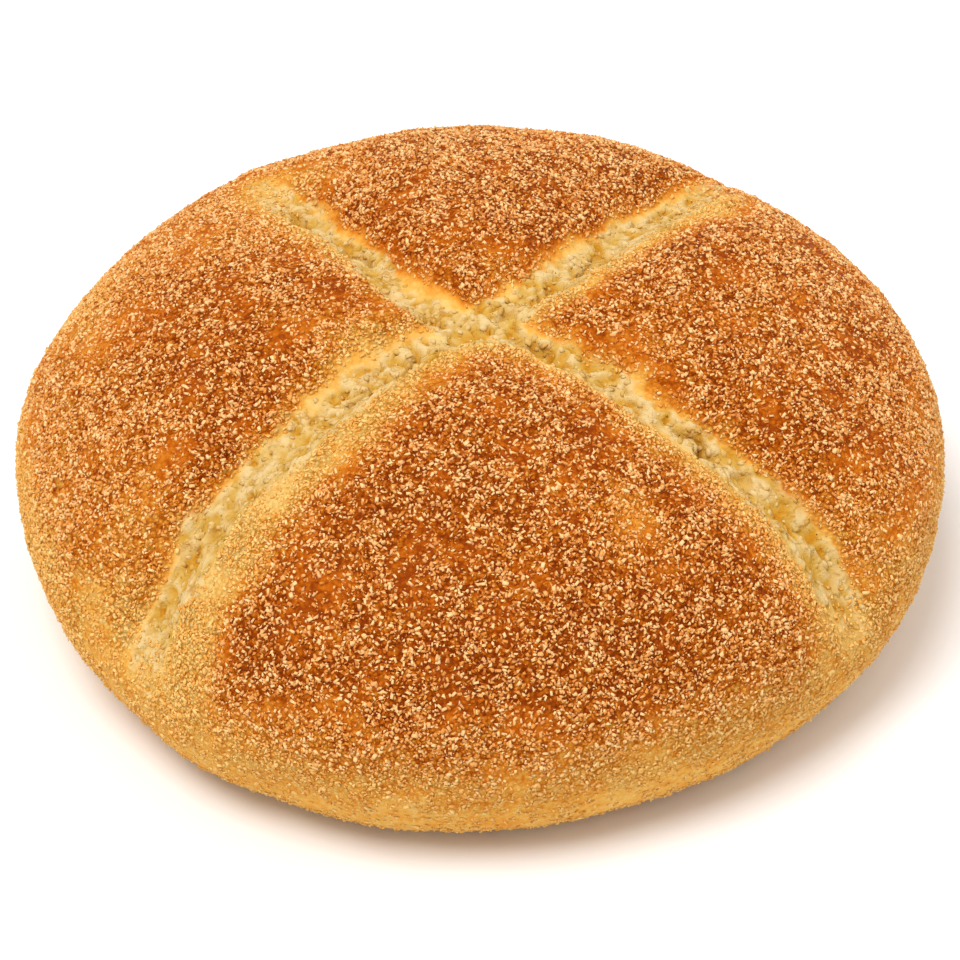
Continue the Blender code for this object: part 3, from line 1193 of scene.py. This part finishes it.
@dataclass(frozen=True)
class Dusting:
    """All that is scattered on the roll."""

    grains: tuple[Litter, ...] = (
        Litter(
            "semolina_coarse", Body.CHIP, 2500, (0.00055, 0.00085), 0.00080, 0.35, 0.35, 11,
            GrainFinish("semolina_coarse", toast_share=0.6), clumps=0.6,
        ),
        Litter(
            "semolina_pale", Body.SHARD, 17000, (0.00042, 0.00080), 0.00031, 0.25, 0.45, 23,
            GrainFinish("semolina_pale", toast_share=0.20), clumps=0.75, clump_size=0.0018,
        ),
        Litter(
            "semolina_golden", Body.SHARD, 17000, (0.00040, 0.00076), 0.00031, 0.30, 0.50, 47,
            GrainFinish("semolina_golden", baked=srgb(230, 152, 62), toast_share=0.5),
            clumps=0.68, clump_size=0.0018,
        ),
        Litter(
            "semolina_toasted", Body.SHARD, 18000, (0.00040, 0.00078), 0.00034, 0.35, 0.45, 37,
            GrainFinish("semolina_toasted", baked=srgb(214, 122, 46), toast_share=0.8),
        ),
        Litter(
            "semolina_brown", Body.SHARD, 17000, (0.00040, 0.00070), 0.00034, 0.35, 0.50, 59,
            GrainFinish("semolina_brown", raw=srgb(232, 156, 76), toast_share=1.0),
        ),
        Litter(
            "semolina_small", Body.MOTE, 12000, (0.00024, 0.00042), 0.00030, 0.25, 0.60, 41,
            GrainFinish("semolina_small", toast_share=0.4),
        ),
        Litter(
            "semolina_dust", Body.MOTE, 8000, (0.00014, 0.00024), 0.00022, 0.25, 0.60, 53,
            GrainFinish("semolina_dust", toast_share=0.4),
        ),
    )
    flecks: Litter = Litter(
        "crumb_flecks", Body.CHIP, 900, (0.00050, 0.00140), 0.00080, 0.66, 0.26, 67,
        FleckFinish("torn_crumb_flecks"), slender=0.66, flat=0.32, smooth=True,
    )
    bran: Litter = Litter(
        "bran_specks", Body.MOTE, 480, (0.00014, 0.00030), 0.00120, 0.40, 0.40, 71,
        BranFinish("bran"), flat=0.35,
    )
    lowest_bran: float = 0.004
    bran_on_pale: float = 1.2

    def build(self, skin: SkinMesh) -> None:
        """Scatter every kind where it belongs on the skin."""
        for kind in self.grains:
            kind.build(skin, skin.grit)
        self.flecks.build(skin, skin.crumb)
        above = skin.corners[:, 2] > self.lowest_bran
        self.bran.build(skin, np.where(above, self.bran_on_pale - skin.toast, 0.0))


@dataclass(frozen=True)
class Lamp:
    """A wide, far light that faces the roll from where it hangs."""

    name: str
    place: tuple[float, float, float]
    spread_degrees: float
    power: float

    def hang(self) -> None:
        """Put the light into the scene."""
        light = bpy.data.lights.new(self.name, "SUN")
        light.angle, light.energy = math.radians(self.spread_degrees), self.power
        lamp = linked(self.name, light)
        lamp.location = self.place
        lamp.rotation_euler = (-Vector(self.place)).to_track_quat("-Z", "Y").to_euler()


@dataclass(frozen=True)
class Studio:
    """A white table under soft light, seen as the roll was seen."""

    elevation: float = 39.4
    distance: float = 0.66
    waist: float = 0.0160
    scale_pixels: float = 461.0
    radius: float = 0.0550
    column: float = 479.6
    row: float = 463.2
    frame_pixels: float = 960.0
    sensor: float = 36.0
    clip: Pair = (0.01, 20.0)
    lamps: tuple[Lamp, ...] = (
        Lamp("key", (-0.28, -0.26, 0.95), 32.0, 2.35),
        Lamp("fill", (0.80, 0.35, 0.60), 70.0, 0.65),
    )
    sky_strength: float = 0.62
    table_reach: float = 6.0

    def camera(self) -> None:
        """Place the camera at the roll's viewing angle."""
        lens = bpy.data.cameras.new("camera")
        camera = linked("camera", lens)
        tilt = math.radians(self.elevation)
        back = Vector((0.0, -math.cos(tilt), math.sin(tilt)))
        camera.location = Vector((0.0, 0.0, self.waist)) + back * self.distance
        camera.rotation_euler = (-back).to_track_quat("-Z", "Y").to_euler()
        focal = self.scale_pixels * self.distance / self.radius
        lens.sensor_width = self.sensor
        lens.lens = focal * self.sensor / self.frame_pixels
        lens.shift_x = -(self.column - self.frame_pixels / 2) / self.frame_pixels
        lens.shift_y = (self.row - self.frame_pixels / 2) / self.frame_pixels
        lens.clip_start, lens.clip_end = self.clip
        bpy.context.scene.camera = camera

    def floor(self) -> None:
        """Lay the pale table."""
        sheet = bmesh.new()
        bmesh.ops.create_grid(sheet, x_segments=2, y_segments=2, size=self.table_reach)
        mesh = bpy.data.meshes.new("table")
        sheet.to_mesh(mesh)
        sheet.free()
        table = linked("table", mesh)
        mesh.materials.append(TableFinish("white_table").material())

    def build(self) -> None:
        """Set up the camera, the floor and the lights."""
        self.camera()
        self.floor()
        for lamp in self.lamps:
            lamp.hang()
        world = bpy.data.worlds.new("studio")
        bpy.context.scene.world = world
        world.use_nodes = True
        sky = world.node_tree.nodes["Background"]
        sky.inputs["Color"].default_value = (1.0, 1.0, 1.0, 1.0)
        sky.inputs["Strength"].default_value = self.sky_strength
        bpy.context.scene.view_settings.view_transform = "Standard"


def main() -> None:
    """Build the roll, its dusting and the studio."""
    logging.basicConfig(level=logging.INFO, format="%(name)s: %(message)s")
    noise.seed_set(NOISE_SEED)
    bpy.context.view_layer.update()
    roll = RollSkin()
    skin = roll.build()
    Dusting().build(roll.arrays(skin))
    Studio().build()


if __name__ == "__main__":
    main()
